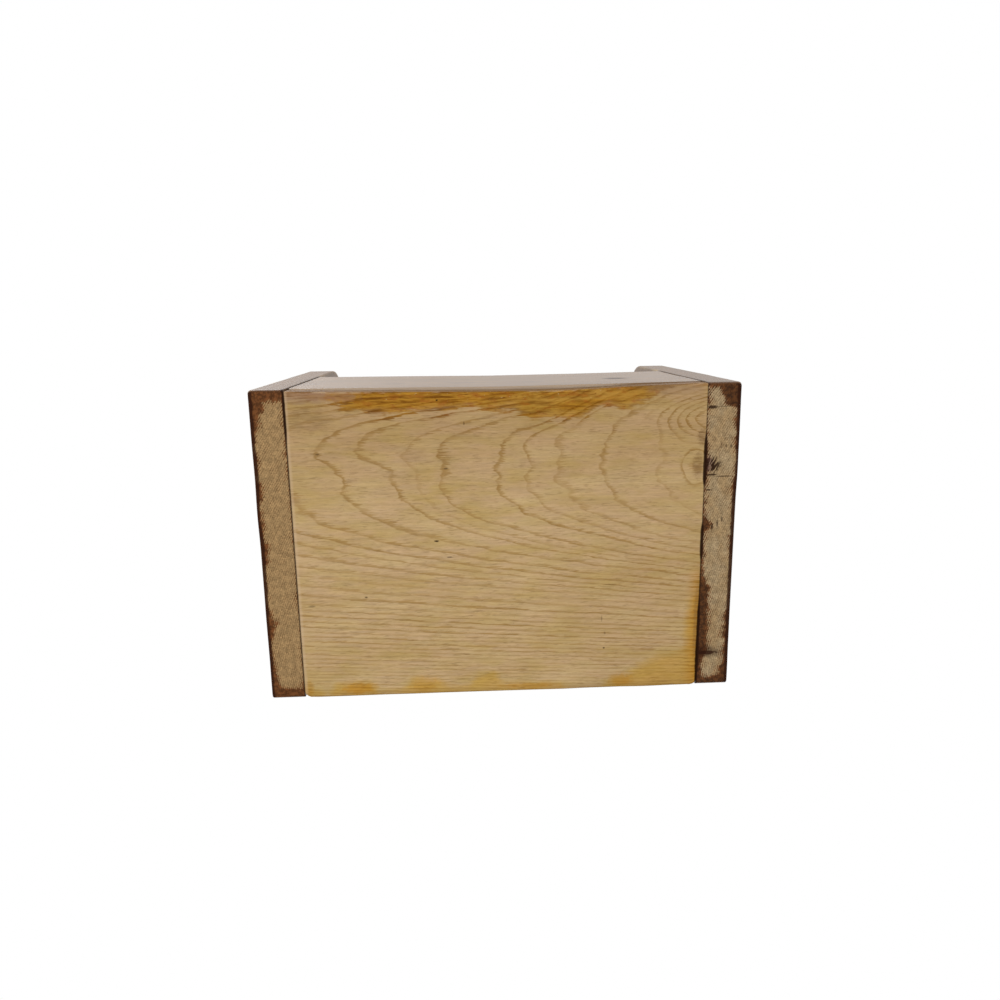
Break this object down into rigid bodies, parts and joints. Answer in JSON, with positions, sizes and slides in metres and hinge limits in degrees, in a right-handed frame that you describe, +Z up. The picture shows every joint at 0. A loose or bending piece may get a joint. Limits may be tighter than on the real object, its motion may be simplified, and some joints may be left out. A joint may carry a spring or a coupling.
{
  "type": "tool caddy",
  "caption": "Open wooden tool tray between tall end boards with rounded shoulders, nailed together and carried by a round wooden rod.",
  "frame": {"origin": "on the floor, at the middle of the base", "axes": "+X along the handle rod from the left end to the right, -Y out of the front board, +Z up"},
  "size_m": [0.27, 0.18, 0.216],
  "materials": {
    "bottom_wood": "bare sawn pine, matt",
    "side_wood": "honey varnish, satin",
    "end_wood": "red-brown stain, satin",
    "rod_wood": "worn varnish, satin",
    "nail_steel": "dull bare steel"
  },
  "bodies": {
    "root": {"bottom_board": "bottom_wood", "front_board": "side_wood", "back_board": "side_wood", "left_end_board": "end_wood", "right_end_board": "end_wood", "handle_rod": "rod_wood", "left_bottom_nails": "nail_steel", "left_front_nails": "nail_steel", "left_back_nails": "nail_steel", "right_bottom_nails": "nail_steel", "right_front_nails": "nail_steel", "right_back_nails": "nail_steel", "left_rod_brad": "nail_steel", "right_rod_brad": "nail_steel"}
  },
  "joints": []
}
